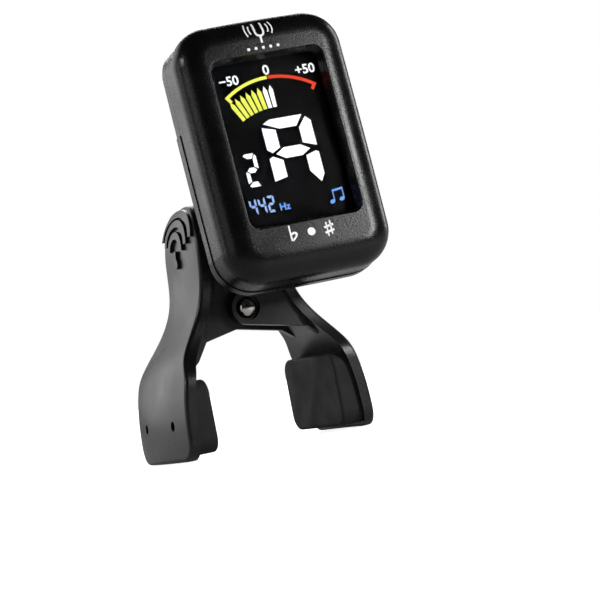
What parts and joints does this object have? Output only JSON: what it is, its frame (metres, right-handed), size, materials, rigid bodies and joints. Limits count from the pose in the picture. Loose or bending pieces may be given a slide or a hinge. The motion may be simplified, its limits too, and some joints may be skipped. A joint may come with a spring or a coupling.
{
  "type": "clip-on instrument tuner",
  "caption": "Clip-on instrument tuner: sprung clip with rubber-lined jaws, swivel ball and a rounded black head with a colour display.",
  "frame": {"origin": "on the gripping face of the right pad, midway along the pin's direction", "axes": "+X is the closing direction of the left jaw, towards the right jaw; +Y runs along the hinge pin away from the screen; +Z goes from the jaws to the levers"},
  "size_m": [0.0355, 0.0376, 0.0643],
  "materials": {
    "shell_black": "fine-grained satin black moulding",
    "arm_black": "satin black moulding",
    "button_black": "satin",
    "pin_steel": "polished",
    "spring_steel": "plain wire",
    "screw_steel": "blackened",
    "pad_rubber": "soft matt",
    "ball_plastic": "smooth",
    "liner_plastic": "natural acetal",
    "lens_clear": "clear acrylic",
    "lcd_glass": "dark display glass",
    "light_guide": "milky",
    "holder_white": "white moulding",
    "connector_rubber": "layered strip",
    "board_green": "solder resist",
    "chip_black": "moulded package",
    "switch_metal": "stamped",
    "cell_steel": "plated can",
    "contact_plate": "plated strip",
    "piezo_brass": "thin strip"
  },
  "bodies": {
    "clip_fixed_arm": {"right_arm": "arm_black", "hinge_pin": "pin_steel", "pin_retainer": "spring_steel", "torsion_spring": "spring_steel", "right_pad": "pad_rubber", "stud_screw": "screw_steel"},
    "clip_moving_arm": {"left_arm": "arm_black", "left_pad": "pad_rubber"},
    "swivel_stud": {"ball_stud": "ball_plastic"},
    "swivel_cup": {"socket_liner": "liner_plastic"},
    "head": {"front_shell": "shell_black", "rear_shell": "shell_black", "lens_window": "lens_clear", "lcd_panel": "lcd_glass", "lcd_backlight": "light_guide", "lcd_holder": "holder_white", "lcd_connector": "connector_rubber", "circuit_board": "board_green", "controller_chip": "chip_black", "tact_switches": "switch_metal", "coin_cell": "cell_steel", "battery_contact_positive": "contact_plate", "battery_contact_negative": "contact_plate", "piezo_pickup": "piezo_brass", "case_screws": "screw_steel", "socket_retainer": "holder_white"},
    "power_key": {"power_button": "button_black"},
    "mode_key": {"mode_button": "button_black"},
    "battery_cover": {"battery_door": "shell_black"}
  },
  "joints": [
    {"name": "clip_hinge", "type": "hinge", "parent": "clip_fixed_arm", "child": "clip_moving_arm", "pos_m": [-0.01025, 0, 0.0155], "axis": [0, -1, 0], "range_deg": [-8, 48], "stiffness_Nm_per_rad": 0.045, "springref_deg": 100.27, "deforming": ["torsion_spring"]},
    {"name": "stud_spin", "type": "hinge", "parent": "clip_fixed_arm", "child": "swivel_stud", "pos_m": [-0.00467, -0.014, 0.02801], "axis": [0, 1, 0], "range_deg": [-30, 30]},
    {"name": "head_tilt", "type": "hinge", "parent": "swivel_stud", "child": "swivel_cup", "pos_m": [-0.00467, -0.014, 0.02801], "axis": [-1, 0, 0], "range_deg": [-20, 15]},
    {"name": "head_turn", "type": "hinge", "parent": "swivel_cup", "child": "head", "pos_m": [-0.00467, -0.014, 0.02801], "axis": [0, -0.9848, 0.1736], "range_deg": [-60, 60]},
    {"name": "power_press", "type": "slide", "parent": "head", "child": "power_key", "axis": [-1, 0, 0], "range_m": [0, 0.0003], "stiffness_N_per_m": 1500, "springref_m": -0.0004},
    {"name": "mode_press", "type": "slide", "parent": "head", "child": "mode_key", "axis": [-1, 0, 0], "range_m": [0, 0.0003], "stiffness_N_per_m": 1500, "springref_m": -0.0004},
    {"name": "battery_door_slide", "type": "slide", "parent": "head", "child": "battery_cover", "axis": [0, 0.1736, 0.9848], "range_m": [0, 0.026]}
  ]
}
